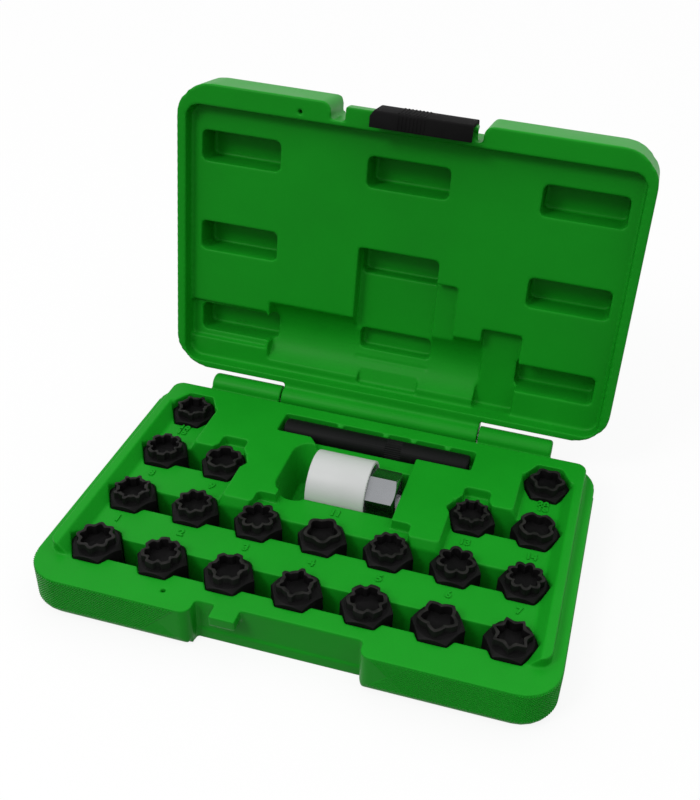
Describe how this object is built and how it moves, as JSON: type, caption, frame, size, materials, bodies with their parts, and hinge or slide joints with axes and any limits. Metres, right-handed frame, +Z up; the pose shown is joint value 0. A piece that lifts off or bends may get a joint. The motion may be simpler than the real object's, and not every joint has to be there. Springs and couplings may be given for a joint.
{
  "type": "locking wheel nut key set in a hinged case",
  "caption": "Hinged moulded case with a sliding latch that holds splined locking wheel nut keys, a sleeved hexagonal driver and a knurled drift.",
  "frame": {"origin": "middle of the case base's underside", "axes": "+X along the hinge to the right seen from the latch, +Y from the latch to the hinge, +Z up"},
  "size_m": [0.25, 0.2232, 0.1947],
  "materials": {
    "case_green": "satin blow-moulded polyethylene",
    "key_black": "black phosphate steel with bright worn edges",
    "driver_chrome": "satin chrome",
    "sleeve_white": "smooth plastic",
    "drift_black": "black oxide steel",
    "latch_black": "fine grained plastic",
    "pin_steel": "drawn wire"
  },
  "bodies": {
    "base": {"case_base": "case_green", "hinge_pin": "pin_steel", "key_01": "key_black", "key_02": "key_black", "key_03": "key_black", "key_04": "key_black", "key_05": "key_black", "key_06": "key_black", "key_07": "key_black", "key_08": "key_black", "key_09": "key_black", "key_10": "key_black", "key_11": "key_black", "key_12": "key_black", "key_13": "key_black", "key_14": "key_black", "key_15": "key_black", "key_16": "key_black", "key_17": "key_black", "key_18": "key_black", "key_19": "key_black", "key_20": "key_black", "driver_socket": "driver_chrome", "driver_sleeve": "sleeve_white", "drift": "drift_black"},
    "lid": {"case_lid": "case_green"},
    "latch": {"latch_slide": "latch_black"}
  },
  "joints": [
    {"name": "lid_hinge", "type": "hinge", "parent": "base", "child": "lid", "pos_m": [0, 0.0895, 0.02365], "axis": [1, 0, 0], "range_deg": [0, 98.7]},
    {"name": "latch_slide_joint", "type": "slide", "parent": "lid", "child": "latch", "axis": [-1, 0, 0], "range_m": [0, 0.018]}
  ]
}
